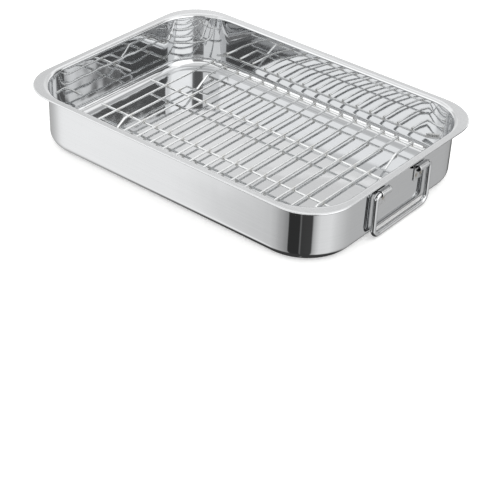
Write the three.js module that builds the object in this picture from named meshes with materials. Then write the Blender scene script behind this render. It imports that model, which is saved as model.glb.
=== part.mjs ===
// Stainless steel roasting pan with two drop handles and a loose wire rack.
// Millimetres, +Z up. X runs along the pan, and the pan stands on Z = 0 with its middle on the Z axis.
import * as THREE from "three";

// Pan body
const RIM_LENGTH = 400;
const RIM_WIDTH = 285;
const PAN_HEIGHT = 64;
const SHEET = 0.8;
const FLANGE = 9; // from the rim's edge to the outside of the wall
const RIM_CORNER_RADIUS = 48;
const WALL_CORNER_RADIUS = 54; // outside of the wall, just under the rim
const WALL_DRAFT = THREE.MathUtils.degToRad(0.6);
const FLOOR_RADIUS = 11; // outside, where the wall turns into the floor
const FLANGE_RADIUS = 3; // underneath, where the wall turns into the rim
const HEM_THICKNESS = 1.8; // the rim's edge, folded under and pressed flat
const HEM_WIDTH = 3.6;

// Handles
const BAIL_WIRE = 5.6;
const BAIL_SPAN = 92; // between the middles of the two arms
const BAIL_GROUND_GAP = 0.8; // between the hanging bail and the table
const BAIL_TIP_RADIUS = 5.4; // bends where the arms turn into their tips
const BAIL_FOOT_RADIUS = 9; // bends between the arms and the bar
const HINGE_BELOW_RIM = 14.7;
const BARREL_LENGTH = 15.5;
const BARREL_CLEARANCE = 0.3; // all round the bail's tip
const BARREL_END_GAP = 0.4; // between a barrel and the bend of the bail beside it
const BARREL_OPENING = THREE.MathUtils.degToRad(50); // left unrolled between the curl and its tab
const TIP_SHORTFALL = 3; // how far a tip stops before the inner end of its barrel
const BRACKET_SHEET = 0.8;
const TAB_LENGTH = 16; // of the tab on the wall, below the middle of its barrel

// Rack
const CROSS_WIRE = 2.5;
const LONG_WIRE = 2.8;
const CROSS_PITCH = 18.57;
const LONG_WIRES = 4;
const RACK_END_GAP = 16; // between an inner long wire's tip and the end wall
const RACK_SIDE_GAP = 13.2; // between a cross wire's tip and the side wall
const LONG_OVERHANG = 20; // least length of an inner long wire past the last cross wire
const OUTER_LONG_OVERHANG = 5; // of the outer long wires, which end short of the pan's round corners
const CROSS_OVERHANG = 1; // of a cross wire past the outer long wires
const FOOT_DROP = 11.6; // from a cross wire down to its feet
const FOOT_INSET = 51.5; // from a cross wire's tip to its nearer foot
const FOOT_SPREAD = 18; // from a foot's lowest point to the bend on either side
const FOOT_BEND_RADIUS = 5;
const WIRE_CHAMFER = 0.4;

// Clearance between pieces that are welded together or stand on each other
const SEAT_GAP = 0.3;

// Smoothness of the round shapes
const CORNER_STEPS = 10;
const FILLET_STEPS = 6;
const WIRE_SIDES = 12;
const BAIL_STEPS = 84;
const FOOT_WIRE_STEPS = 96;

const QUARTER_TURN = Math.PI / 2;

function steel(colour, roughness) {
  return new THREE.MeshStandardMaterial({ color: colour, roughness, metalness: 1 });
}

const POLISHED_STEEL = { colour: 0xd6d8da, roughness: 0.08 };
const HANDLE_STEEL = { colour: 0xcfd1d3, roughness: 0.14 };
const BRACKET_STEEL = { colour: 0xc9cbcd, roughness: 0.22 };
const RACK_STEEL = { colour: 0xe2e3e4, roughness: 0.12 };

function piece(name, geometry, finish) {
  const mesh = new THREE.Mesh(geometry, steel(finish.colour, finish.roughness));
  mesh.name = name;
  return mesh;
}

// Points of a rounded rectangle at one height, anticlockwise from above.
function roundedRing(halfLength, halfWidth, radius, z) {
  const corners = [[1, 1], [-1, 1], [-1, -1], [1, -1]];
  return corners.flatMap(([alongX, alongY], corner) => {
    const start = corner * QUARTER_TURN;
    const x = alongX * (halfLength - radius);
    const y = alongY * (halfWidth - radius);
    const arc = new THREE.EllipseCurve(x, y, radius, radius, start, start + QUARTER_TURN);
    return arc.getPoints(CORNER_STEPS).map((p) => new THREE.Vector3(p.x, p.y, z));
  });
}

// A closed body skinned through rings of equal point count, with a flat face at each end.
function loft(rings) {
  const count = rings[0].length;
  const last = (rings.length - 1) * count;
  const index = [];
  for (let start = 0; start < last; start += count) {
    for (let i = 0; i < count; i += 1) {
      const a = start + i;
      const b = start + ((i + 1) % count);
      index.push(a, b, a + count, b, b + count, a + count);
    }
  }
  for (let i = 1; i + 1 < count; i += 1) {
    index.push(0, i + 1, i);
    index.push(last, last + i, last + i + 1);
  }
  const geometry = new THREE.BufferGeometry().setFromPoints(rings.flat());
  geometry.setIndex(index);
  geometry.computeVertexNormals();
  return geometry;
}

// Points of an arc in the wall's section, as an inset from the rim's edge and a height.
function sectionArc(inset, z, radius, from, to) {
  const arc = new THREE.EllipseCurve(inset, z, radius, radius, from, to, to < from);
  return arc.getPoints(FILLET_STEPS);
}

const WALL_TOP = PAN_HEIGHT - SHEET - FLANGE_RADIUS;

// Inset of the wall's outside at a height, measured from the rim's edge.
function wallInset(z) {
  return FLANGE + (WALL_TOP - z) * Math.tan(WALL_DRAFT);
}

// The wall's section: out under the floor, up the outside, round the rim and down the inside.
function wallSection() {
  const rimRadius = FLANGE_RADIUS + SHEET;
  const hemRadius = HEM_THICKNESS / 2;
  const floorCentre = wallInset(FLOOR_RADIUS) + FLOOR_RADIUS;
  const bendCentre = FLANGE - FLANGE_RADIUS;
  return [
    ...sectionArc(floorCentre, FLOOR_RADIUS, FLOOR_RADIUS, -QUARTER_TURN, -2 * QUARTER_TURN),
    ...sectionArc(bendCentre, WALL_TOP, FLANGE_RADIUS, 0, QUARTER_TURN),
    new THREE.Vector2(HEM_WIDTH, PAN_HEIGHT - SHEET),
    new THREE.Vector2(HEM_WIDTH, PAN_HEIGHT - HEM_THICKNESS),
    ...sectionArc(hemRadius, PAN_HEIGHT - hemRadius, hemRadius, -QUARTER_TURN, -3 * QUARTER_TURN),
    ...sectionArc(bendCentre, WALL_TOP, rimRadius, QUARTER_TURN, 0),
    ...sectionArc(floorCentre, FLOOR_RADIUS, FLOOR_RADIUS - SHEET, -2 * QUARTER_TURN, -QUARTER_TURN),
  ];
}

// The corners of the rim are tighter than those of the wall, so the rim is widest there.
function cornerRadius(inset) {
  if (inset > FLANGE) return WALL_CORNER_RADIUS - (inset - FLANGE);
  return THREE.MathUtils.lerp(RIM_CORNER_RADIUS, WALL_CORNER_RADIUS, inset / FLANGE);
}

function panBody() {
  const rings = wallSection().map(({ x: inset, y: z }) =>
    roundedRing(RIM_LENGTH / 2 - inset, RIM_WIDTH / 2 - inset, cornerRadius(inset), z),
  );
  return piece("pan_body", loft(rings), POLISHED_STEEL);
}

// One round bend of a wire, turned about an axis through its centre.
class Bend extends THREE.Curve {
  constructor(centre, start, axis, angle) {
    super();
    Object.assign(this, { centre, start, axis, angle });
  }

  getPoint(t, target = new THREE.Vector3()) {
    const spoke = target.subVectors(this.start, this.centre);
    return spoke.applyAxisAngle(this.axis, this.angle * t).add(this.centre);
  }
}

// The middle line of a wire through some corners, each rounded to its own bend radius.
function bentPath(corners, radii) {
  const path = new THREE.CurvePath();
  let from = corners[0];
  radii.forEach((radius, i) => {
    const corner = corners[i + 1];
    const before = corner.clone().sub(corners[i]).normalize();
    const after = corners[i + 2].clone().sub(corner).normalize();
    const angle = before.angleTo(after);
    const axis = before.clone().cross(after).normalize();
    const start = corner.clone().addScaledVector(before, -radius * Math.tan(angle / 2));
    const centre = start.clone().addScaledVector(axis.clone().cross(before), radius);
    const bend = new Bend(centre, start, axis, angle);
    path.add(new THREE.LineCurve3(from, start));
    path.add(bend);
    from = bend.getPoint(1);
  });
  path.add(new THREE.LineCurve3(from, corners.at(-1)));
  return path;
}

function bentWire(diameter, path, steps) {
  const section = new THREE.Shape();
  for (let side = 0; side < WIRE_SIDES; side += 1) {
    const angle = (2 * Math.PI * side) / WIRE_SIDES;
    const x = (diameter / 2) * Math.cos(angle);
    const y = (diameter / 2) * Math.sin(angle);
    if (side === 0) section.moveTo(x, y);
    else section.lineTo(x, y);
  }
  return new THREE.ExtrudeGeometry(section, { steps, extrudePath: path, bevelEnabled: false });
}

// A straight wire along Y with chamfered tips.
function straightWire(diameter, length) {
  const radius = diameter / 2;
  const half = length / 2;
  const profile = [
    new THREE.Vector2(0, -half),
    new THREE.Vector2(radius - WIRE_CHAMFER, -half),
    new THREE.Vector2(radius, WIRE_CHAMFER - half),
    new THREE.Vector2(radius, half - WIRE_CHAMFER),
    new THREE.Vector2(radius - WIRE_CHAMFER, half),
    new THREE.Vector2(0, half),
  ];
  return new THREE.LatheGeometry(profile, WIRE_SIDES);
}

const HINGE_HEIGHT = PAN_HEIGHT - HINGE_BELOW_RIM;
const BORE_RADIUS = BAIL_WIRE / 2 + BARREL_CLEARANCE;
const BARREL_RADIUS = BORE_RADIUS + BRACKET_SHEET;
const BARREL_OUTER_END = BAIL_SPAN / 2 - BAIL_TIP_RADIUS - BARREL_END_GAP;
const BARREL_INNER_END = BARREL_OUTER_END - BARREL_LENGTH;

// A tab flat on the wall whose top rolls outwards into a barrel. The barrel's middle line is at height 0.
function bracketGeometry() {
  const curlEnd = BARREL_OPENING - Math.PI;
  const outline = new THREE.Shape();
  outline.moveTo(0, -TAB_LENGTH);
  outline.lineTo(BRACKET_SHEET, -TAB_LENGTH);
  outline.lineTo(BRACKET_SHEET, 0);
  outline.absarc(BARREL_RADIUS, 0, BORE_RADIUS, Math.PI, curlEnd, true);
  outline.absarc(BARREL_RADIUS, 0, BARREL_RADIUS, curlEnd, Math.PI, false);
  outline.lineTo(0, -TAB_LENGTH);
  const options = { depth: BARREL_LENGTH, curveSegments: 2 * WIRE_SIDES, bevelEnabled: false };
  return new THREE.ExtrudeGeometry(outline, options).rotateX(QUARTER_TURN);
}

// The bail hangs from its hinge line at height 0, with its tips turned inwards along that line.
function bailGeometry() {
  const arm = BAIL_SPAN / 2;
  const tip = BARREL_INNER_END + TIP_SHORTFALL;
  const bar = BAIL_GROUND_GAP + BAIL_WIRE / 2 - HINGE_HEIGHT;
  const corners = [[-tip, 0], [-arm, 0], [-arm, bar], [arm, bar], [arm, 0], [tip, 0]];
  const radii = [BAIL_TIP_RADIUS, BAIL_FOOT_RADIUS, BAIL_FOOT_RADIUS, BAIL_TIP_RADIUS];
  const path = bentPath(corners.map(([y, z]) => new THREE.Vector3(0, y, z)), radii);
  return bentWire(BAIL_WIRE, path, BAIL_STEPS);
}

// One handle: two brackets along the leaning end wall, and a bail that hangs plumb between them.
function handle(end, turn) {
  const hinge = new THREE.Group();
  hinge.position.set(RIM_LENGTH / 2 - wallInset(HINGE_HEIGHT), 0, HINGE_HEIGHT);
  hinge.rotation.y = WALL_DRAFT;
  const brackets = { left: BARREL_OUTER_END, right: -BARREL_INNER_END };
  for (const [side, farEdge] of Object.entries(brackets)) {
    const bracket = piece(`${end}_bracket_${side}`, bracketGeometry(), BRACKET_STEEL);
    bracket.position.set(SEAT_GAP, farEdge, 0);
    hinge.add(bracket);
  }
  const bail = piece(`${end}_bail_handle`, bailGeometry(), HANDLE_STEEL);
  bail.position.x = SEAT_GAP + BARREL_RADIUS;
  bail.rotation.y = -WALL_DRAFT;
  hinge.add(bail);
  const side = new THREE.Group();
  side.rotation.z = turn;
  side.add(hinge);
  return side;
}

// A cross wire along Y with a V-shaped foot near each tip.
function footWire(length) {
  const foot = length / 2 - FOOT_INSET;
  const half = [
    [length / 2, 0],
    [foot + FOOT_SPREAD, 0],
    [foot, -FOOT_DROP],
    [foot - FOOT_SPREAD, 0],
  ];
  const mirrored = half.map(([y, z]) => [-y, z]).reverse();
  const corners = [...half, ...mirrored].map(([y, z]) => new THREE.Vector3(0, y, z));
  const path = bentPath(corners, corners.slice(2).map(() => FOOT_BEND_RADIUS));
  return bentWire(CROSS_WIRE, path, FOOT_WIRE_STEPS);
}

// How far a rounded foot falls short of the sharp corner that it is bent from.
function footRounding() {
  const slope = Math.atan2(FOOT_DROP, FOOT_SPREAD);
  return FOOT_BEND_RADIUS * (1 / Math.cos(slope) - 1);
}

// The rack: cross wires lying on long wires, standing on the feet of two of the cross wires.
function rack() {
  const crossLength = RIM_WIDTH - 2 * (FLANGE + SHEET + RACK_SIDE_GAP);
  const longLength = RIM_LENGTH - 2 * (FLANGE + SHEET + RACK_END_GAP);
  const crossHeight = SHEET + SEAT_GAP + CROSS_WIRE / 2 + FOOT_DROP - footRounding();
  const longHeight = crossHeight - (CROSS_WIRE + LONG_WIRE) / 2 - SEAT_GAP;
  const group = new THREE.Group();

  const lastCross = Math.floor((longLength / 2 - LONG_OVERHANG) / CROSS_PITCH);
  for (let i = -lastCross; i <= lastCross; i += 1) {
    const hasFeet = Math.abs(i) === lastCross - 1;
    const shape = hasFeet ? footWire(crossLength) : straightWire(CROSS_WIRE, crossLength);
    const number = String(i + lastCross + 1).padStart(2, "0");
    const kind = hasFeet ? "foot" : "cross";
    const wire = piece(`rack_${kind}_wire_${number}`, shape, RACK_STEEL);
    wire.position.set(i * CROSS_PITCH, 0, crossHeight);
    group.add(wire);
  }

  const outerLong = crossLength / 2 - CROSS_OVERHANG;
  const outerLength = 2 * (lastCross * CROSS_PITCH + OUTER_LONG_OVERHANG);
  for (let i = 0; i < LONG_WIRES; i += 1) {
    const isOuter = i === 0 || i === LONG_WIRES - 1;
    const shape = straightWire(LONG_WIRE, isOuter ? outerLength : longLength);
    const wire = piece(`rack_long_wire_${i + 1}`, shape, RACK_STEEL);
    const share = i / (LONG_WIRES - 1);
    wire.position.set(0, THREE.MathUtils.lerp(-outerLong, outerLong, share), longHeight);
    wire.rotation.z = QUARTER_TURN;
    group.add(wire);
  }
  return group;
}

const roastingPan = new THREE.Group();
roastingPan.add(panBody());
roastingPan.add(handle("right", 0));
roastingPan.add(handle("left", Math.PI));
roastingPan.add(rack());

export default roastingPan;
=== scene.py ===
# %% [markdown]
# # A polished steel roasting pan with drop handles and a wire rack
#
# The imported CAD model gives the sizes, the bodies and the joints. This lesson dresses it: each CAD solid
# is replaced by a smoother mesh of the same piece, finished in a steel of its own, and the pan is set on
# a pale studio floor under soft light. Everything is in metres with +Z up, and sizes are written in
# millimetres.

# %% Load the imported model
import math

import bmesh
import bpy
from mathutils import Matrix, Quaternion, Vector


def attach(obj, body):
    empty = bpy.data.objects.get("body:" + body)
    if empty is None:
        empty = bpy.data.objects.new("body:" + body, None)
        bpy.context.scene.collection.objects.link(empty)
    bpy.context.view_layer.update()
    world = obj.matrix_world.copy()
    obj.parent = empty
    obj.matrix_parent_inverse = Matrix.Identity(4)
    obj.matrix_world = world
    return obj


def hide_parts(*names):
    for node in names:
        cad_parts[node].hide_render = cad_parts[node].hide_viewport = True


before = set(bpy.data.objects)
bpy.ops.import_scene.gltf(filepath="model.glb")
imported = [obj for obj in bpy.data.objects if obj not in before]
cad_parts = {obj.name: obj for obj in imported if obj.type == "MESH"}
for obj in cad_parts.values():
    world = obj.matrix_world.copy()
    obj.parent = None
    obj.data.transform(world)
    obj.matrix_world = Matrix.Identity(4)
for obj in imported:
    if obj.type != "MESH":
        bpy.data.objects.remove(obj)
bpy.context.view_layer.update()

# %% [markdown]
# ## Measuring in millimetres
#
# A pan maker works in millimetres and Blender in metres, so every length passes through one factor. The
# helper below turns lists of points and faces into an object, and shades it smooth, because a drawn sheet
# has no facets.

# %% Lengths and new pieces
MM = 0.001


def new_piece(name, points, faces, material):
    """A smooth mesh object from points in millimetres."""
    mesh = bpy.data.meshes.new(name)
    mesh.from_pydata([Vector(p) * MM for p in points], [], faces)
    shape = bmesh.new()
    shape.from_mesh(mesh)
    bmesh.ops.remove_doubles(shape, verts=shape.verts, dist=0.001 * MM)
    bmesh.ops.recalc_face_normals(shape, faces=shape.faces)
    shape.to_mesh(mesh)
    shape.free()
    mesh.shade_smooth()
    mesh.materials.append(material)
    piece = bpy.data.objects.new(name, mesh)
    bpy.context.scene.collection.objects.link(piece)
    return piece


print("one metre has", round(1 / MM), "mm")

# %% [markdown]
# ## The camera
#
# The photograph looks down on the pan's near right corner from about a metre and a third away. The eye,
# the point looked at, the small roll and the lens were fitted to the rim, the walls, the floor edge and
# the wires of the photograph, so the pan falls on the same pixels of a square picture.

# %% Camera
EYE = Vector((808.97, -1028.20, 762.11))
LOOKED_AT = Vector((144.13, -172.33, 28.0))
CAMERA_ROLL = math.radians(2.591)
LENS = 102.65
SENSOR = 36.0
FAR_CLIP = 100.0

camera_data = bpy.data.cameras.new("camera")
camera_data.sensor_width = SENSOR
camera_data.lens = LENS
camera_data.clip_end = FAR_CLIP
camera = bpy.data.objects.new("camera", camera_data)
camera.location = EYE * MM
camera.rotation_mode = "QUATERNION"
looking = (LOOKED_AT - EYE).to_track_quat("-Z", "Y")
camera.rotation_quaternion = looking @ Quaternion((0, 0, 1), CAMERA_ROLL)
bpy.context.scene.collection.objects.link(camera)
bpy.context.scene.camera = camera
print("camera", tuple(round(v, 3) for v in camera.location))

# %% [markdown]
# ## Colours and nodes
#
# Colours are written as the hex values seen on a screen. Shaders want linear light, so one function
# converts them. One more function adds a shader node, sets its inputs and links it, and every material
# below is made with it.

# %% Colour and node helpers
def hex_colour(text):
    """Linear RGBA from an sRGB hex colour."""
    shares = [int(text[i:i + 2], 16) / 255 for i in (1, 3, 5)]
    linear = [s / 12.92 if s <= 0.04045 else ((s + 0.055) / 1.055) ** 2.4 for s in shares]
    return (*linear, 1.0)


def add_node(tree, kind, inputs=None, settings=None):
    """Adds one node. An input is a value, or the socket that it is linked to."""
    node = tree.nodes.new(kind)
    for name, value in (settings or {}).items():
        setattr(node, name, value)
    for name, value in (inputs or {}).items():
        socket = node.inputs[name]
        if isinstance(value, bpy.types.NodeSocket):
            tree.links.new(value, socket)
        else:
            socket.default_value = value
    return node


def new_material(name):
    """A material without any nodes yet."""
    material = bpy.data.materials.new(name)
    material.use_nodes = True
    material.node_tree.nodes.clear()
    return material


print("mid grey is linear", round(hex_colour("#808080")[0], 3))

# %% [markdown]
# ## The studio
#
# Polished steel has hardly any look of its own: it shows the studio. The photograph was taken among white
# walls, with a broad light above and another to the front left, and a dark room behind the camera. The
# floor is plain and pale, and bright enough to come out white. The steel doesn't mirror it, because a
# cloth made for that comes last.

# %% Floor and white walls
FLOOR_SIZE = 40000
FLOOR_DROP = 0.3
TENT_BRIGHTNESS = 1.35
BOUNCES = 12

floor_paint = new_material("matt_white_paper")
tree = floor_paint.node_tree
paper = add_node(tree, "ShaderNodeBsdfPrincipled", {
    "Base Color": hex_colour("#eeeeed"),
    "Roughness": 0.9,
    "Specular IOR Level": 0.1,
    "Emission Color": hex_colour("#ffffff"),
    "Emission Strength": 0.3,
})
add_node(tree, "ShaderNodeOutputMaterial", {"Surface": paper.outputs["BSDF"]})
edge = FLOOR_SIZE / 2
corners = [(-edge, -edge), (edge, -edge), (edge, edge), (-edge, edge)]
floor = new_piece("floor", [(x, y, -FLOOR_DROP) for x, y in corners], [(0, 1, 2, 3)], floor_paint)
floor.visible_glossy = False

world = bpy.data.worlds.new("white_studio")
world.use_nodes = True
world.node_tree.nodes["Background"].inputs["Color"].default_value = hex_colour("#ffffff")
world.node_tree.nodes["Background"].inputs["Strength"].default_value = TENT_BRIGHTNESS
bpy.context.scene.world = world
bpy.context.scene.view_settings.view_transform = "Standard"
bpy.context.scene.cycles.max_bounces = BOUNCES
bpy.context.scene.cycles.glossy_bounces = BOUNCES
print("floor", floor.dimensions.x, "m wide")

# %% Soft lights
LIGHTS = {
    "overhead_softbox": {"place": (-100, 150, 1900), "size": (1800, 1500), "brightness": 0.2},
    "key_softbox": {"place": (-1200, -1500, 1250), "size": (1500, 1300), "brightness": 0.1},
}

for name, light in LIGHTS.items():
    data = bpy.data.lights.new(name, "AREA")
    data.shape = "RECTANGLE"
    data.size = light["size"][0] * MM
    data.size_y = light["size"][1] * MM
    data.energy = light["brightness"] * math.pi * data.size * data.size_y
    softbox = bpy.data.objects.new(name, data)
    softbox.location = Vector(light["place"]) * MM
    softbox.rotation_mode = "QUATERNION"
    softbox.rotation_quaternion = (-softbox.location).to_track_quat("-Z", "Y")
    bpy.context.scene.collection.objects.link(softbox)
    print(name, round(data.energy, 1), "W")

# %% [markdown]
# ## Screens for the polish
#
# A photographer of polished steel hangs screens round it, because a mirror among white walls only looks
# flat. Three of the pan's inner faces meet in a corner that sends light back where it came from, so a
# dark drape hangs behind the camera. Bright screens stand at the front left and on the right, a dark
# drape at the back right and a grey screen at the back left, which the floor of the pan mirrors, and pale
# ones hang overhead. Each rib of a screen has an azimuth, the elevation of its top and a tone, and the
# tones blend from rib to rib, as on a screen lit from one end. The screens are there for the polish
# alone: they don't show in the picture or shade the floor.

# %% Screens
SCREEN_DISTANCE = 3200
SCREENS = {
    "camera_drape": {"foot": 25.5, "ribs": [
        (27, 43, 1.0), (28.5, 43, 0.3), (34, 43, 0.2), (49, 43, 0.2), (55, 43, 0.33), (58, 43, 1.4),
    ]},
    "camera_screen": {"foot": 18, "ribs": [
        (27, 25.5, 1.0), (33, 25.5, 0.9), (38, 25.5, 0.75), (47, 25.5, 0.6), (54, 25.5, 0.7), (58, 25.5, 1.4),
    ]},
    "camera_skirt": {"foot": 0, "ribs": [(27, 18, 1.0), (28.5, 18, 0.33), (56, 18, 0.33), (58, 18, 1.4)]},
    "ceiling_drape": {"foot": 33.5, "ribs": [(-10, 44, 0.9), (-7, 44, 0.3), (28.5, 44, 0.3)]},
    "front_left_screen": {"foot": 20, "ribs": [
        (-60, 34, 1.35), (-50, 34, 1.68), (-25, 34, 1.68), (-15, 34, 1.35),
    ]},
    "front_left_top": {"foot": 34, "ribs": [
        (-70, 44, 1.3), (-55, 44, 1.12), (-25, 44, 1.12), (-12, 44, 1.3),
    ]},
    "ceiling_left": {"foot": 44, "ribs": [
        (-125, 64, 1.2), (-110, 64, 1.08), (-38, 64, 1.08), (-26, 64, 1.3),
    ]},
    "overhead_screen": {"foot": 66, "ribs": [(azimuth, 89.5, 0.8) for azimuth in range(-180, 181, 20)]},
    "right_screen": {"foot": 0, "ribs": [(58, 60, 1.6), (66, 60, 1.9), (116, 60, 1.9), (130, 60, 1.3)]},
    "back_right_drape": {"foot": 0, "ribs": [
        (130, 28, 1.5), (134.2, 28, 1.4), (136.2, 28, 1.15), (137.2, 28, 0.35), (138.2, 28, 0.17),
        (162, 28, 0.2), (168, 28, 1.0),
    ]},
    "back_right_edge": {"foot": 28, "ribs": [
        (130, 33, 1.5), (133, 32, 1.4), (135.5, 31.5, 1.2), (136.3, 33, 0.3), (137.3, 33, 0.2),
        (138.5, 32.5, 0.17), (141, 31.2, 0.17), (148, 33.2, 0.17), (162, 33.2, 0.2), (168, 33.2, 1.0),
    ]},
    "back_right_top": {"foot": 37, "ribs": [(131, 47, 1.3), (136, 47, 0.85), (178, 47, 0.8), (188, 47, 1.2)]},
    "back_left_screen": {"foot": 0, "ribs": [
        (192, 31.2, 1.2), (197, 31.2, 0.97), (212, 31.2, 0.97), (215.5, 31.2, 1.08), (221, 31.2, 1.11),
        (229, 31.2, 0.9), (242, 31.2, 0.86), (248, 31.2, 1.2),
    ]},
    "back_left_top": {"foot": 31.2, "ribs": [
        (192, 38, 1.2), (197, 38, 0.9), (216, 38, 0.9), (220, 38, 1.0),
        (229, 38, 0.86), (242, 38, 0.82), (248, 38, 1.2),
    ]},
}

screen_cloth = new_material("graded_screen_cloth")
tree = screen_cloth.node_tree
tones = add_node(tree, "ShaderNodeAttribute", settings={"attribute_name": "tone"})
glow = add_node(tree, "ShaderNodeEmission", {
    "Color": hex_colour("#ffffff"), "Strength": tones.outputs["Fac"],
})
add_node(tree, "ShaderNodeOutputMaterial", {"Surface": glow.outputs["Emission"]})


def graded_screen(name, ribs):
    """A screen through ribs of points, each with its tone, seen only in reflections."""
    mesh = bpy.data.meshes.new(name)
    long = len(ribs[0])
    points = [point * MM for rib in ribs for point, tone in rib]
    faces = []
    for i in range(len(ribs) - 1):
        for k in range(long - 1):
            a = i * long + k
            faces.append((a, a + long, a + long + 1, a + 1))
    mesh.from_pydata(points, [], faces)
    shades = [tone for rib in ribs for point, tone in rib]
    mesh.attributes.new("tone", "FLOAT", "POINT").data.foreach_set("value", shades)
    mesh.materials.append(screen_cloth)
    screen = bpy.data.objects.new(name, mesh)
    bpy.context.scene.collection.objects.link(screen)
    screen.visible_camera = False
    screen.visible_diffuse = False
    screen.visible_shadow = False
    return screen


def heading(azimuth, elevation=0):
    """Direction at an azimuth in degrees, from -Y towards +X, and an elevation."""
    turn = math.radians(azimuth)
    rise = math.radians(elevation)
    return Vector((math.sin(turn) * math.cos(rise), -math.cos(turn) * math.cos(rise), math.sin(rise)))


for name, screen in SCREENS.items():
    ribs = []
    for azimuth, top, tone in screen["ribs"]:
        ribs.append([(heading(azimuth, rise) * SCREEN_DISTANCE, tone) for rise in (screen["foot"], top)])
    hung = graded_screen(name, ribs)
    print(name, tuple(round(v, 2) for v in hung.dimensions), "m")

# %% [markdown]
# ## Mirror polished stainless steel
#
# The sheet is rolled, drawn and buffed. Drawing leaves slow waves, about as long as a thumb, which bend
# whatever the wall mirrors. Buffing leaves fine lines, level on the walls and lengthwise on the floor.
# Real buffing lines lie a few hundredths of a millimetre apart, which no picture of a whole pan shows, so
# they are drawn coarser here. The rim's top and the underside have scuffs from stacking and from oven
# shelves. All of it is noise stretched to lengths in millimetres, because a picture of steel would need a
# place for its seams.

# %% Grain measured in millimetres
def grain(tree, lengths, detail=2.0):
    """Noise in grains of these lengths along X, Y and Z, in millimetres."""
    where = add_node(tree, "ShaderNodeTexCoord")
    stretch = add_node(tree, "ShaderNodeMapping", {
        "Vector": where.outputs["Object"],
        "Scale": [1 / (length * MM) for length in lengths],
    })
    noise = add_node(tree, "ShaderNodeTexNoise", {
        "Vector": stretch.outputs["Vector"],
        "Scale": 1.0,
        "Detail": detail,
    })
    return noise.outputs["Fac"]


print("a grain of one millimetre has scale", round(1 / MM))

# %% Polished sheet
WAVE_LENGTH = 45
WAVE_HEIGHT = 0.16
WRINKLE_LENGTH = 24
WRINKLE_SHARE = 1.1
WRINKLES_FROM = -150
WRINKLES_FULL = -186
LINE_WIDTH = 1.3
LINE_HEIGHT = 0.0006
WALL_LINES = (80, 80, LINE_WIDTH)
FLOOR_LINES = (90, LINE_WIDTH, 40)
SCUFF_GRAIN = (9, 2.2, 9)
PAN_HEIGHT = 64
RIM_WEAR_FROM = PAN_HEIGHT - 0.8
RIM_WEAR_FULL = PAN_HEIGHT - 0.4
SHELF_WEAR_FROM = 0.6
SCUFF_ROUGHNESS = 0.2

polished = new_material("mirror_polished_stainless_sheet")
tree = polished.node_tree
where = add_node(tree, "ShaderNodeTexCoord")
spot = add_node(tree, "ShaderNodeSeparateXYZ", {"Vector": where.outputs["Object"]})
at_end = add_node(tree, "ShaderNodeMapRange", {
    "Value": spot.outputs["X"],
    "From Min": WRINKLES_FROM * MM,
    "From Max": WRINKLES_FULL * MM,
    "To Max": WRINKLE_SHARE,
})
slow_waves = grain(tree, (WAVE_LENGTH, WAVE_LENGTH, 1.5 * WAVE_LENGTH), 1.5)
wrinkles = grain(tree, [WRINKLE_LENGTH] * 3, 1.0)
waves = add_node(tree, "ShaderNodeMath", {
    0: wrinkles, 1: at_end.outputs["Result"], 2: slow_waves,
}, {"operation": "MULTIPLY_ADD"})
level_lines = grain(tree, WALL_LINES)
long_lines = grain(tree, FLOOR_LINES)
scuffs = grain(tree, SCUFF_GRAIN, 4.0)

surface = add_node(tree, "ShaderNodeNewGeometry")
facing = add_node(tree, "ShaderNodeSeparateXYZ", {"Vector": surface.outputs["Normal"]})
flat = add_node(tree, "ShaderNodeMapRange", {
    "Value": facing.outputs["Z"], "From Min": 0.6, "From Max": 0.95,
})
lines = add_node(tree, "ShaderNodeMix", {
    "Factor": flat.outputs["Result"], "A": level_lines, "B": long_lines,
})

on_rim = add_node(tree, "ShaderNodeMapRange", {
    "Value": spot.outputs["Z"], "From Min": RIM_WEAR_FROM * MM, "From Max": RIM_WEAR_FULL * MM,
})
on_shelf = add_node(tree, "ShaderNodeMapRange", {
    "Value": spot.outputs["Z"], "From Min": SHELF_WEAR_FROM * MM, "From Max": 0.0,
})
worn = add_node(tree, "ShaderNodeMath", {
    0: on_rim.outputs["Result"], 1: on_shelf.outputs["Result"],
}, {"operation": "MAXIMUM"})
scuffed = add_node(tree, "ShaderNodeMath", {
    0: worn.outputs["Value"], 1: scuffs,
}, {"operation": "MULTIPLY"})

buffed = add_node(tree, "ShaderNodeMapRange", {
    "Value": lines.outputs["Result"], "From Min": 0.3, "From Max": 0.7, "To Min": 0.03, "To Max": 0.055,
})
rough = add_node(tree, "ShaderNodeMath", {
    0: scuffed.outputs["Value"], 1: SCUFF_ROUGHNESS, 2: buffed.outputs["Result"],
}, {"operation": "MULTIPLY_ADD"})
tone = add_node(tree, "ShaderNodeMix", {
    "Factor": lines.outputs["Result"], "A": hex_colour("#cdcecf"), "B": hex_colour("#d4d5d6"),
}, {"data_type": "RGBA"})
drawn = add_node(tree, "ShaderNodeBump", {
    "Height": waves.outputs["Value"], "Strength": 1.0, "Distance": WAVE_HEIGHT * MM,
})
grooved = add_node(tree, "ShaderNodeBump", {
    "Height": lines.outputs["Result"],
    "Strength": 1.0,
    "Distance": LINE_HEIGHT * MM,
    "Normal": drawn.outputs["Normal"],
})
mirror = add_node(tree, "ShaderNodeBsdfPrincipled", {
    "Base Color": tone.outputs["Result"],
    "Metallic": 1.0,
    "Roughness": rough.outputs["Value"],
    "Normal": grooved.outputs["Normal"],
})
add_node(tree, "ShaderNodeOutputMaterial", {"Surface": mirror.outputs["BSDF"]})
print("made", polished.name)

# %% [markdown]
# ## The pan body
#
# One sheet is drawn into a tray: flat floor, a broad turn into near upright walls, a tight bend into a
# flat rim, and an edge folded under so that it doesn't cut. It is lofted through many rounded rectangles,
# one for each step of the wall's section, out under the floor, up the outside, round the rim and down the
# inside.

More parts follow.
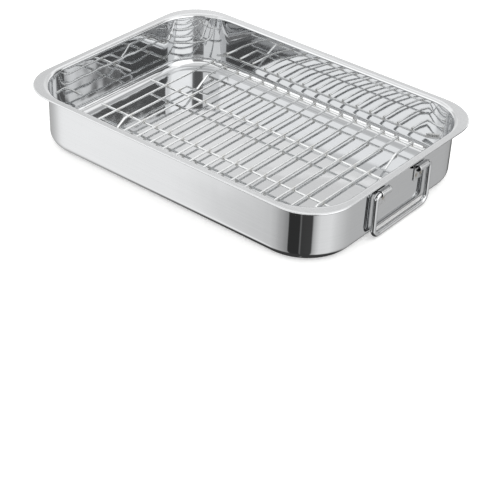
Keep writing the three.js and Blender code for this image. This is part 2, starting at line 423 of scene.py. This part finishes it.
# %% Sizes of the pan
RIM_LENGTH = 400
RIM_WIDTH = 285
SHEET = 0.8
FLANGE = 9
RIM_CORNER = 48
WALL_CORNER = 54
WALL_DRAFT = math.radians(0.6)
FLOOR_RADIUS = 11
FLANGE_RADIUS = 3
HEM_THICKNESS = 1.8
HEM_WIDTH = 3.6
FOLD_RUN = 0.3
FOLD_DROP = 0.15
CUT_EDGE = 0.2
FLOOR_LIP = 1.5
WALL_TOP = PAN_HEIGHT - SHEET - FLANGE_RADIUS
WALL_CURL = 0.45
CURL_START = 38
CURL_FADE = 3.5
TURN_STEPS = 16
WALL_STEPS = 14
BEND_STEPS = {"under": 10, "over": 14}
HEM_STEPS = 12
RIM_STEPS = 4


def wall_inset(z):
    """Inset of the wall's outside from the rim's edge, at a height."""
    return FLANGE + (WALL_TOP - z) * math.tan(WALL_DRAFT)


def section_arc(inset, z, radius, start, end, steps):
    """Points of an arc in the wall's section."""
    turns = [math.radians(start + (end - start) * i / steps) for i in range(steps + 1)]
    return [(inset + radius * math.cos(t), z + radius * math.sin(t)) for t in turns]


def straight(a, b, steps):
    """Points between two points of the section, without its ends."""
    shares = [i / steps for i in range(1, steps)]
    return [(a[0] + (b[0] - a[0]) * s, a[1] + (b[1] - a[1]) * s) for s in shares]


floor_turn = wall_inset(FLOOR_RADIUS) + FLOOR_RADIUS
bend = FLANGE - FLANGE_RADIUS
hem = HEM_THICKNESS / 2
rim_under = PAN_HEIGHT - SHEET
hem_under = PAN_HEIGHT - HEM_THICKNESS
outside_turn = section_arc(floor_turn, FLOOR_RADIUS, FLOOR_RADIUS, -90, -180, TURN_STEPS)
under_bend = section_arc(bend, WALL_TOP, FLANGE_RADIUS, 0, 90, BEND_STEPS["under"])
hem_round = section_arc(hem, PAN_HEIGHT - hem, hem, -90, -270, HEM_STEPS)
over_bend = section_arc(bend, WALL_TOP, FLANGE_RADIUS + SHEET, 90, 0, BEND_STEPS["over"])
inside_turn = section_arc(floor_turn, FLOOR_RADIUS, FLOOR_RADIUS - SHEET, -180, -90, TURN_STEPS)
section = [(floor_turn + FLOOR_LIP, 0), *outside_turn]
section += straight(outside_turn[-1], under_bend[0], WALL_STEPS)
section += under_bend
section += [(HEM_WIDTH + FOLD_RUN, rim_under), (HEM_WIDTH, rim_under - FOLD_DROP)]
section += [(HEM_WIDTH, hem_under + CUT_EDGE), (HEM_WIDTH - CUT_EDGE, hem_under)]
section += hem_round
section += straight(hem_round[-1], over_bend[0], RIM_STEPS)
section += over_bend
section += straight(over_bend[-1], inside_turn[0], WALL_STEPS)
section += [*inside_turn, (floor_turn + FLOOR_LIP, SHEET)]
print("section of", len(section), "points")

# %% Loft the pan
CORNER_STEPS = 20
LONG_STEPS = 28
SHORT_STEPS = 20
CORNERS = [
    (1, 1, 0, LONG_STEPS), (-1, 1, 90, SHORT_STEPS), (-1, -1, 180, LONG_STEPS), (1, -1, 270, SHORT_STEPS),
]


def corner_radius(inset):
    """The rim's corners are tighter than the wall's, so the rim is widest there."""
    if inset > FLANGE:
        return WALL_CORNER - (inset - FLANGE)
    return RIM_CORNER + (WALL_CORNER - RIM_CORNER) * inset / FLANGE


def rounded_ring(inset, z):
    """Points of a rounded rectangle, anticlockwise from the far end of the +X side."""
    radius = corner_radius(inset)
    x = RIM_LENGTH / 2 - inset - radius
    y = RIM_WIDTH / 2 - inset - radius
    ring = []
    for along_x, along_y, start, steps in CORNERS:
        for i in range(CORNER_STEPS + 1):
            turn = math.radians(start + 90 * i / CORNER_STEPS)
            out = Vector((math.cos(turn), math.sin(turn), 0)) * radius
            ring.append(Vector((along_x * x, along_y * y, z)) + out)
        after = math.radians(start + 90)
        first = ring[-1]
        back_x, back_y = (-along_x, along_y) if steps == LONG_STEPS else (along_x, -along_y)
        last = Vector((back_x * x + radius * math.cos(after), back_y * y + radius * math.sin(after), z))
        ring += [first.lerp(last, i / steps) for i in range(1, steps)]
    return ring


def curl_wall(point, inset):
    """The long walls lean out a little more towards the rim, as drawn sheet does between stiff corners."""
    if inset < bend - CURL_FADE or point.z < CURL_START:
        return point
    along = min(1.0, abs(point.x) / (RIM_LENGTH / 2 - FLANGE))
    height = min(1.0, (point.z - CURL_START) / (WALL_TOP - CURL_START))
    fade = min(1.0, (inset - bend) / CURL_FADE + 1)
    facing = max(0.0, (abs(point.y) - (RIM_WIDTH / 2 - FLANGE - WALL_CORNER)) / WALL_CORNER)
    out = WALL_CURL * height ** 2 * (1 - along ** 4) * fade * min(1.0, facing) ** 2
    return point + Vector((0, math.copysign(out, point.y), 0))


points = []
for inset, z in section:
    points += [curl_wall(p, inset) for p in rounded_ring(inset, z)]
around = len(points) // len(section)
faces = []
for ring in range(len(section) - 1):
    for i in range(around):
        a = ring * around + i
        b = ring * around + (i + 1) % around
        faces.append((a, b, b + around, a + around))
faces.append(tuple(range(around)))
faces.append(tuple(range(len(points) - 1, len(points) - around - 1, -1)))
pan = new_piece("drawn_pan", points, faces, polished)
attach(pan, "pan")
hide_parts("pan_body")
print("pan", tuple(round(v / MM, 1) for v in pan.dimensions), "mm,", len(faces), "faces")

# %% [markdown]
# ## Bending a wire
#
# The handles and the rack are straight wire, cut to length and bent round pins, so each bend is an arc of
# a known radius between two straight runs. The middle line is worked out first. A ring of points is then
# carried along it without twisting, and the cut ends are closed with the small chamfer that deburring
# leaves.

# %% Wire helpers
WIRE_SIDES = 24
BEND_STEP = math.radians(6)
WIRE_CHAMFER = 0.4
CHAMFER_SHAPE = [(0, 1), (0.3, 0.45), (1, 0)]


def bent_line(corners, radius_at):
    """The middle line of a wire through some corners, each rounded to its bend radius."""
    corners = [Vector(c) for c in corners]
    line = [corners[0]]
    for before, corner, after, radius in zip(corners, corners[1:], corners[2:], radius_at):
        arriving = (corner - before).normalized()
        leaving = (after - corner).normalized()
        angle = arriving.angle(leaving)
        axis = arriving.cross(leaving).normalized()
        start = corner - arriving * radius * math.tan(angle / 2)
        centre = start + axis.cross(arriving) * radius
        steps = max(2, math.ceil(angle / BEND_STEP))
        for i in range(steps + 1):
            line.append(centre + Quaternion(axis, angle * i / steps) @ (start - centre))
    line.append(corners[-1])
    return line


def drawn_wire(name, line, diameter, material):
    """A round wire along a line, with chamfered tips."""
    radius = diameter / 2
    lead = (line[1] - line[0]).normalized()
    tail = (line[-1] - line[-2]).normalized()
    chamfer = [(back * WIRE_CHAMFER, cut * WIRE_CHAMFER) for back, cut in CHAMFER_SHAPE]
    stations = [(line[0] + lead * back, radius - cut) for back, cut in chamfer]
    stations += [(p, radius) for p in line[1:-1]]
    stations += [(line[-1] - tail * back, radius - cut) for back, cut in reversed(chamfer)]
    side = lead.orthogonal().normalized()
    points = []
    for i, (middle, reach) in enumerate(stations):
        ahead = stations[min(i + 1, len(stations) - 1)][0] - stations[max(i - 1, 0)][0]
        ahead.normalize()
        side = (side - ahead * side.dot(ahead)).normalized()
        other = ahead.cross(side)
        for k in range(WIRE_SIDES):
            turn = 2 * math.pi * k / WIRE_SIDES
            points.append(middle + (side * math.cos(turn) + other * math.sin(turn)) * reach)
    faces = []
    for ring in range(len(stations) - 1):
        for k in range(WIRE_SIDES):
            a = ring * WIRE_SIDES + k
            b = ring * WIRE_SIDES + (k + 1) % WIRE_SIDES
            faces.append((a, b, b + WIRE_SIDES, a + WIRE_SIDES))
    faces.append(tuple(range(WIRE_SIDES)))
    faces.append(tuple(range(len(points) - WIRE_SIDES, len(points))))
    return new_piece(name, points, faces, material)


print("a right angle takes", math.ceil(math.radians(90) / BEND_STEP), "steps")

# %% [markdown]
# ## The drop handles
#
# Each handle is one polished bar bent into a U, with its two tips turned inwards into the barrels on the
# end wall. It hangs plumb from its hinge line, which lies a barrel's radius off the wall, and its marks
# from handling are a soft mottle about as broad as a fingertip.

# %% Bar finish
HANDLING_MARK = 14
HANDLING_HEIGHT = 0.012

bar_steel = new_material("polished_stainless_bar")
tree = bar_steel.node_tree
handled = grain(tree, [HANDLING_MARK] * 3, 3.0)
rough = add_node(tree, "ShaderNodeMapRange", {
    "Value": handled, "From Min": 0.3, "From Max": 0.7, "To Min": 0.05, "To Max": 0.12,
})
tone = add_node(tree, "ShaderNodeMix", {
    "Factor": handled, "A": hex_colour("#c3c4c5"), "B": hex_colour("#d3d4d5"),
}, {"data_type": "RGBA"})
drawn = add_node(tree, "ShaderNodeBump", {
    "Height": handled, "Strength": 1.0, "Distance": HANDLING_HEIGHT * MM,
})
mirror = add_node(tree, "ShaderNodeBsdfPrincipled", {
    "Base Color": tone.outputs["Result"],
    "Metallic": 1.0,
    "Roughness": rough.outputs["Result"],
    "Normal": drawn.outputs["Normal"],
})
add_node(tree, "ShaderNodeOutputMaterial", {"Surface": mirror.outputs["BSDF"]})
print("made", bar_steel.name)

# %% Bails
BAIL_WIRE = 5.6
BAIL_SPAN = 92
BAIL_GROUND_GAP = 0.8
BAIL_TIP_RADIUS = 5.4
BAIL_FOOT_RADIUS = 9
HINGE_BELOW_RIM = 14.7
HINGE_HEIGHT = PAN_HEIGHT - HINGE_BELOW_RIM
SEAT_GAP = 0.3
BRACKET_SHEET = 0.8
BORE_PLAY = 0.3
BORE_RADIUS = BAIL_WIRE / 2 + BORE_PLAY
BARREL_RADIUS = BORE_RADIUS + BRACKET_SHEET
BARREL_LENGTH = 15.5
BEND_CLEARANCE = 0.4
BARREL_OUTER_END = BAIL_SPAN / 2 - BAIL_TIP_RADIUS - BEND_CLEARANCE
BARREL_INNER_END = BARREL_OUTER_END - BARREL_LENGTH
TIP_SHORTFALL = 3

wall_at_hinge = RIM_LENGTH / 2 - wall_inset(HINGE_HEIGHT)
hinge_x = wall_at_hinge + (SEAT_GAP + BARREL_RADIUS) * math.cos(WALL_DRAFT)
hinge_z = HINGE_HEIGHT - (SEAT_GAP + BARREL_RADIUS) * math.sin(WALL_DRAFT)
arm = BAIL_SPAN / 2
tip = BARREL_INNER_END + TIP_SHORTFALL
bar = BAIL_GROUND_GAP + BAIL_WIRE / 2 - HINGE_HEIGHT
bail_corners = [(-tip, 0), (-arm, 0), (-arm, bar), (arm, bar), (arm, 0), (tip, 0)]
bail_bends = [BAIL_TIP_RADIUS, BAIL_FOOT_RADIUS, BAIL_FOOT_RADIUS, BAIL_TIP_RADIUS]
ENDS = {"right": 1, "left": -1}

for end, facing in ENDS.items():
    corners = [(facing * hinge_x, y, hinge_z + z) for y, z in bail_corners]
    bail = drawn_wire(end + "_bail", bent_line(corners, bail_bends), BAIL_WIRE, bar_steel)
    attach(bail, end + "_bail")
    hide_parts(end + "_bail_handle")
    print(bail.name, tuple(round(v / MM, 1) for v in bail.dimensions), "mm")

# %% [markdown]
# ## The brackets
#
# A bracket is a strip of sheet whose lower half lies on the wall, held by two spot welds, and whose upper
# half is rolled outwards into a barrel for the handle's tip. The strip is swept along its own middle line
# with slightly rounded edges, and each weld presses a shallow round dimple into the tab.

# %% Strip shape
TAB_LENGTH = 16
BARREL_OPENING = 50
WELD_HEIGHT = -10.5
BARREL_MIDDLE = (BARREL_OUTER_END + BARREL_INNER_END) / 2
WELD_SPREAD = 4.0
WELD_RADIUS = 1.7
STRIP_ACROSS = 31
STRIP_EDGE = 0.22
STRIP_END = 0.2
TAB_STEPS = 40
BARREL_STEPS = 48

strip_line = [(BRACKET_SHEET / 2, -TAB_LENGTH + TAB_LENGTH * i / TAB_STEPS, 0.0) for i in range(TAB_STEPS)]
for i in range(BARREL_STEPS + 1):
    turn = math.radians(180 - (360 - BARREL_OPENING) * i / BARREL_STEPS)
    middle = BORE_RADIUS + BRACKET_SHEET / 2
    lean = math.radians(180) - turn
    strip_line.append((BARREL_RADIUS + middle * math.cos(turn), middle * math.sin(turn), lean))


def strip_ring(x, z, lean, end_round):
    """One section of the strip: rounded edges, thickness across the sheet, width along Y."""
    half = BARREL_LENGTH / 2 - end_round
    thick = BRACKET_SHEET / 2
    sheet_out = Vector((math.cos(lean), 0, -math.sin(lean)))
    ring = []
    for face in (1, -1):
        for i in range(STRIP_ACROSS):
            y = face * half * (1 - 2 * i / (STRIP_ACROSS - 1))
            near_edge = max(0.0, abs(y) - (half - STRIP_EDGE)) / STRIP_EDGE
            rise = thick - STRIP_EDGE + STRIP_EDGE * math.sqrt(max(0.0, 1 - near_edge ** 2))
            press = 0.0
            for weld in (-WELD_SPREAD, WELD_SPREAD):
                away = math.hypot(y - weld, z - WELD_HEIGHT) / WELD_RADIUS
                press += SEAT_GAP * math.exp(-away ** 4)
            if lean > 0:
                press = 0.0
            ring.append(Vector((x, y, z)) + sheet_out * (face * rise - press))
    return ring


rings = [strip_ring(*strip_line[0], STRIP_END)]
rings += [strip_ring(*station, 0.0) for station in strip_line]
rings.append(strip_ring(*strip_line[-1], STRIP_END))
strip_points = [p for ring in rings for p in ring]
strip_faces = []
count = len(rings[0])
for r in range(len(rings) - 1):
    for i in range(count):
        a = r * count + i
        b = r * count + (i + 1) % count
        strip_faces.append((a, b, b + count, a + count))
strip_faces.append(tuple(range(count)))
strip_faces.append(tuple(range(len(strip_points) - count, len(strip_points))))
print("strip of", len(strip_faces), "faces")

# %% Strip finish
BORE_SHADE_FROM = 0.3
BORE_SHADE_FULL = 0.1
ROLLED_GRAIN = (0.9, 0.9, 14)
ROLLED_HEIGHT = 0.012
TINT_FROM = 1.9 * WELD_RADIUS
TINT_FULL = 0.8 * WELD_RADIUS

strip_steel = new_material("satin_stainless_strip")
tree = strip_steel.node_tree
rolled = grain(tree, ROLLED_GRAIN)
where = add_node(tree, "ShaderNodeTexCoord")
spot = add_node(tree, "ShaderNodeSeparateXYZ", {"Vector": where.outputs["Object"]})
across = add_node(tree, "ShaderNodeMath", {0: spot.outputs["X"]}, {"operation": "ABSOLUTE"})
along = add_node(tree, "ShaderNodeMath", {0: spot.outputs["Y"]}, {"operation": "ABSOLUTE"})
from_pair = add_node(tree, "ShaderNodeMath", {
    0: along.outputs["Value"], 1: (BARREL_MIDDLE - WELD_SPREAD) * MM,
}, {"operation": "SUBTRACT"})
weld_y = add_node(tree, "ShaderNodeMath", {
    0: from_pair.outputs["Value"], 1: WELD_SPREAD * MM,
}, {"operation": "PINGPONG"})
weld_z = add_node(tree, "ShaderNodeMath", {
    0: spot.outputs["Z"], 1: (HINGE_HEIGHT + WELD_HEIGHT) * MM,
}, {"operation": "SUBTRACT"})
weld_offset = add_node(tree, "ShaderNodeCombineXYZ", {
    "X": weld_y.outputs["Value"], "Y": weld_z.outputs["Value"],
})
weld_away = add_node(tree, "ShaderNodeVectorMath", {
    0: weld_offset.outputs["Vector"],
}, {"operation": "LENGTH"})
heat = add_node(tree, "ShaderNodeMapRange", {
    "Value": weld_away.outputs["Value"],
    "From Min": TINT_FROM * MM,
    "From Max": TINT_FULL * MM,
})
bore_x = add_node(tree, "ShaderNodeMath", {
    0: across.outputs["Value"], 1: hinge_x * MM,
}, {"operation": "SUBTRACT"})
bore_z = add_node(tree, "ShaderNodeMath", {
    0: spot.outputs["Z"], 1: hinge_z * MM,
}, {"operation": "SUBTRACT"})
bore_offset = add_node(tree, "ShaderNodeCombineXYZ", {
    "X": bore_x.outputs["Value"], "Y": bore_z.outputs["Value"],
})
bore_away = add_node(tree, "ShaderNodeVectorMath", {
    0: bore_offset.outputs["Vector"],
}, {"operation": "LENGTH"})
in_bore = add_node(tree, "ShaderNodeMapRange", {
    "Value": bore_away.outputs["Value"],
    "From Min": (BORE_RADIUS + BORE_SHADE_FROM) * MM,
    "From Max": (BORE_RADIUS + BORE_SHADE_FULL) * MM,
})
satin_tone = add_node(tree, "ShaderNodeMix", {
    "Factor": rolled, "A": hex_colour("#c8c9ca"), "B": hex_colour("#dadbdb"),
}, {"data_type": "RGBA"})
heated_tone = add_node(tree, "ShaderNodeMix", {
    "Factor": heat.outputs["Result"], "A": satin_tone.outputs["Result"], "B": hex_colour("#aaa59c"),
}, {"data_type": "RGBA"})
tone = add_node(tree, "ShaderNodeMix", {
    "Factor": in_bore.outputs["Result"], "A": heated_tone.outputs["Result"], "B": hex_colour("#38383a"),
}, {"data_type": "RGBA"})
rough = add_node(tree, "ShaderNodeMapRange", {
    "Value": rolled, "From Min": 0.3, "From Max": 0.7, "To Min": 0.26, "To Max": 0.4,
})
rolled_lines = add_node(tree, "ShaderNodeBump", {
    "Height": rolled, "Strength": 1.0, "Distance": ROLLED_HEIGHT * MM,
})
satin = add_node(tree, "ShaderNodeBsdfPrincipled", {
    "Base Color": tone.outputs["Result"],
    "Metallic": 1.0,
    "Roughness": rough.outputs["Result"],
    "Normal": rolled_lines.outputs["Normal"],
})
add_node(tree, "ShaderNodeOutputMaterial", {"Surface": satin.outputs["BSDF"]})
print("made", strip_steel.name)

# %% Set the brackets on the walls
for end, facing in ENDS.items():
    for side, middle in (("left", 1), ("right", -1)):
        y = middle * BARREL_MIDDLE
        lean = Matrix.Rotation(WALL_DRAFT, 3, "Y")
        seat = Vector((wall_at_hinge, 0, HINGE_HEIGHT))
        place = [seat + lean @ (p + Vector((SEAT_GAP, y, 0))) for p in strip_points]
        turned = [Vector((facing * p.x, facing * p.y, p.z)) for p in place]
        bracket = new_piece(f"{end}_{side}_barrel_strip", turned, strip_faces, strip_steel)
        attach(bracket, "pan")
        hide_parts(f"{end}_bracket_{side}")
        print(bracket.name, tuple(round(v / MM, 1) for v in bracket.dimensions), "mm")

# %% [markdown]
# ## The rack
#
# Seventeen cross wires lie on four long wires and are spot welded at every crossing. The second wire from
# each end is bent down into two V-shaped feet that stand on the pan's floor. The wire is bright plated,
# so it is paler than the pan, and the cross wires are a little thinner than the long ones.

# %% Sizes of the rack
CROSS_WIRE = 2.5
LONG_WIRE = 2.8
CROSS_PITCH = 18.57
CROSS_WIRES = 17
LONG_WIRES = 4
RACK_SIDE_GAP = 13.2
RACK_END_GAP = 16
TIP_OVERHANG = 1
OUTER_OVERHANG = 5
CROSS_LENGTH = RIM_WIDTH - 2 * (FLANGE + SHEET + RACK_SIDE_GAP)
LONG_LENGTH = RIM_LENGTH - 2 * (FLANGE + SHEET + RACK_END_GAP)
FOOT_DROP = 11.6
FOOT_INSET = 51.5
FOOT_SPREAD = 18
FOOT_BEND = 5

cross_at = [(i - (CROSS_WIRES - 1) / 2) * CROSS_PITCH for i in range(CROSS_WIRES)]
outer_y = CROSS_LENGTH / 2 - TIP_OVERHANG
long_at = [-outer_y + 2 * outer_y * i / (LONG_WIRES - 1) for i in range(LONG_WIRES)]
print("crossings", len(cross_at) * len(long_at))

# %% Plated wire
PLATING_GRAIN = 9
PLATING_HEIGHT = 0.006
WELD_HEAT_FROM = 4.0
WELD_HEAT_FULL = 1.4
WELD_HEAT_SHARE = 0.5
WELD_ROUGHNESS = 0.15

plated = new_material("bright_plated_steel_wire")
tree = plated.node_tree
plating = grain(tree, [PLATING_GRAIN] * 3, 2.0)
where = add_node(tree, "ShaderNodeTexCoord")
spot = add_node(tree, "ShaderNodeSeparateXYZ", {"Vector": where.outputs["Object"]})
cross_x = add_node(tree, "ShaderNodeMath", {
    0: spot.outputs["X"], 1: CROSS_PITCH / 2 * MM,
}, {"operation": "PINGPONG"})
from_long = add_node(tree, "ShaderNodeMath", {
    0: spot.outputs["Y"], 1: outer_y * MM,
}, {"operation": "ADD"})
long_y = add_node(tree, "ShaderNodeMath", {
    0: from_long.outputs["Value"], 1: outer_y / (LONG_WIRES - 1) * MM,
}, {"operation": "PINGPONG"})
offset = add_node(tree, "ShaderNodeCombineXYZ", {
    "X": cross_x.outputs["Value"], "Y": long_y.outputs["Value"],
})
away = add_node(tree, "ShaderNodeVectorMath", {
    0: offset.outputs["Vector"],
}, {"operation": "LENGTH"})
heat = add_node(tree, "ShaderNodeMapRange", {
    "Value": away.outputs["Value"],
    "From Min": WELD_HEAT_FROM * MM,
    "From Max": WELD_HEAT_FULL * MM,
    "To Max": WELD_HEAT_SHARE,
})
clean_tone = add_node(tree, "ShaderNodeMix", {
    "Factor": plating, "A": hex_colour("#dcdddd"), "B": hex_colour("#ebecec"),
}, {"data_type": "RGBA"})
tone = add_node(tree, "ShaderNodeMix", {
    "Factor": heat.outputs["Result"], "A": clean_tone.outputs["Result"], "B": hex_colour("#c9c7c2"),
}, {"data_type": "RGBA"})
smooth = add_node(tree, "ShaderNodeMapRange", {
    "Value": plating, "From Min": 0.3, "From Max": 0.7, "To Min": 0.08, "To Max": 0.16,
})
rough = add_node(tree, "ShaderNodeMath", {
    0: heat.outputs["Result"], 1: WELD_ROUGHNESS, 2: smooth.outputs["Result"],
}, {"operation": "MULTIPLY_ADD"})
uneven = add_node(tree, "ShaderNodeBump", {
    "Height": plating, "Strength": 1.0, "Distance": PLATING_HEIGHT * MM,
})
bright = add_node(tree, "ShaderNodeBsdfPrincipled", {
    "Base Color": tone.outputs["Result"],
    "Metallic": 1.0,
    "Roughness": rough.outputs["Value"],
    "Normal": uneven.outputs["Normal"],
})
add_node(tree, "ShaderNodeOutputMaterial", {"Surface": bright.outputs["BSDF"]})
print("made", plated.name)

# %% Rack wires
STRAIGHT_STEPS = 8

foot_slope = math.atan2(FOOT_DROP, FOOT_SPREAD)
foot_rounding = FOOT_BEND * (1 / math.cos(foot_slope) - 1)
cross_z = SHEET + SEAT_GAP + CROSS_WIRE / 2 + FOOT_DROP - foot_rounding
long_z = cross_z - (CROSS_WIRE + LONG_WIRE) / 2 - SEAT_GAP
foot_y = CROSS_LENGTH / 2 - FOOT_INSET
half_foot = [(CROSS_LENGTH / 2, 0), (foot_y + FOOT_SPREAD, 0)]
half_foot += [(foot_y, -FOOT_DROP), (foot_y - FOOT_SPREAD, 0)]
foot_corners = half_foot + [(-y, z) for y, z in reversed(half_foot)]


def straight_line(start, end):
    """The middle line of a straight wire, in even steps."""
    return [Vector(start).lerp(Vector(end), k / STRAIGHT_STEPS) for k in range(STRAIGHT_STEPS + 1)]


def rack_piece(name, line, diameter, node):
    """One wire of the rack, standing for its CAD node."""
    wire = drawn_wire(name, line, diameter, plated)
    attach(wire, "rack")
    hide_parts(node)


for i, x in enumerate(cross_at):
    if i in (1, CROSS_WIRES - 2):
        corners = [(x, y, cross_z + z) for y, z in foot_corners]
        line = bent_line(corners, [FOOT_BEND] * (len(corners) - 2))
        rack_piece(f"foot_wire_{i + 1:02d}", line, CROSS_WIRE, f"rack_foot_wire_{i + 1:02d}")
    else:
        line = straight_line((x, -CROSS_LENGTH / 2, cross_z), (x, CROSS_LENGTH / 2, cross_z))
        rack_piece(f"cross_wire_{i + 1:02d}", line, CROSS_WIRE, f"rack_cross_wire_{i + 1:02d}")
print(CROSS_WIRES, "cross wires at", round(cross_z, 2), "mm")

# %% Long wires
outer_length = 2 * (cross_at[-1] + OUTER_OVERHANG)
for i, y in enumerate(long_at):
    length = outer_length if i in (0, LONG_WIRES - 1) else LONG_LENGTH
    line = straight_line((-length / 2, y, long_z), (length / 2, y, long_z))
    rack_piece(f"long_wire_{i + 1}", line, LONG_WIRE, f"rack_long_wire_{i + 1}")
print(LONG_WIRES, "long wires at", round(long_z, 2), "mm")

# %% [markdown]
# ## The rack's welds
#
# Where two wires cross, the welding press squeezes a small collar of metal out between them. Each collar
# is a pinched ring, wide where it meets the wires and waisted in between, and all of them make one piece.

# %% Weld collars
COLLAR_SIDES = 12
collar_profile = [(0.7, -0.58), (1.0, -0.36), (0.92, 0.0), (0.98, 0.3), (0.65, 0.58)]
collar_z = long_z + LONG_WIRE / 2 + SEAT_GAP / 2
collar_points = []
collar_faces = []
for x in cross_at:
    for y in long_at:
        first = len(collar_points)
        for reach, rise in collar_profile:
            for k in range(COLLAR_SIDES):
                turn = 2 * math.pi * k / COLLAR_SIDES
                out = Vector((math.cos(turn), math.sin(turn), 0)) * reach
                collar_points.append(Vector((x, y, collar_z + rise)) + out)
        for ring in range(len(collar_profile) - 1):
            for k in range(COLLAR_SIDES):
                a = first + ring * COLLAR_SIDES + k
                b = first + ring * COLLAR_SIDES + (k + 1) % COLLAR_SIDES
                collar_faces.append((a, b, b + COLLAR_SIDES, a + COLLAR_SIDES))
        collar_faces.append(tuple(range(first, first + COLLAR_SIDES)))
        last = first + (len(collar_profile) - 1) * COLLAR_SIDES
        collar_faces.append(tuple(range(last, last + COLLAR_SIDES)))
welds = new_piece("rack_weld_collars", collar_points, collar_faces, plated)
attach(welds, "rack")
print(len(welds.data.vertices), "points in the weld collars")

# %% [markdown]
# ## The cloth below the table
#
# The upright walls and the handles mirror what lies below them. The pan stands on a clear table, and a
# graded cloth under it gives them their tones: pale to the left of the camera, dark below the camera,
# pale again to the right and dark at the back, which draws a thin line down the pan's far edge. Straight
# down it is dark too: a painted shadow that stands for the shade on the table under the pan, and draws the
# line along the pan's lower edge. Tones go by direction alone, so the walls, the round corners and the
# handles all agree.

# %% Ground cloth
CLOTH_TONES = [
    (-133, 0.3), (-110, 0.48), (-95, 0.6), (-85, 0.7), (-76, 0.83), (-68, 0.98), (-60, 1.14), (-52, 1.22),
    (-45.5, 1.25), (-43.5, 1.22), (-41.7, 1.2), (-40, 1.19), (-38.6, 1.13), (-37.4, 1.05), (-35.5, 0.92),
    (-33, 0.83), (-20.9, 0.7), (-4.9, 0.5), (6.1, 0.36), (8.1, 0.04), (29.1, 0.04), (31.5, 0.2),
    (33.9, 0.06), (53.1, 0.07), (56.1, 0.55), (69.1, 1.0), (91, 1.05), (115, 0.8), (143, 0.62), (152, 0.6),
    (172, 0.52), (181, 0.35), (188, 0.06), (213, 0.05), (219, 0.12), (227, 0.3),
]
CLOTH_FALL = [-1, -48]
UNDER_FALL = [-58, -72, -89]
# The dark band straight down is painted shadow: it stands for the shade on the table under the pan.
PAINTED_SHADOW_TONE = 0.06

ribs = []
for azimuth, tone in CLOTH_TONES:
    rib = [(heading(azimuth, fall) * SCREEN_DISTANCE, tone) for fall in CLOTH_FALL]
    rib += [(heading(azimuth, fall) * SCREEN_DISTANCE, PAINTED_SHADOW_TONE) for fall in UNDER_FALL]
    ribs.append(rib)
graded_screen("ground_cloth", ribs)
print("ground cloth of", len(ribs), "ribs")
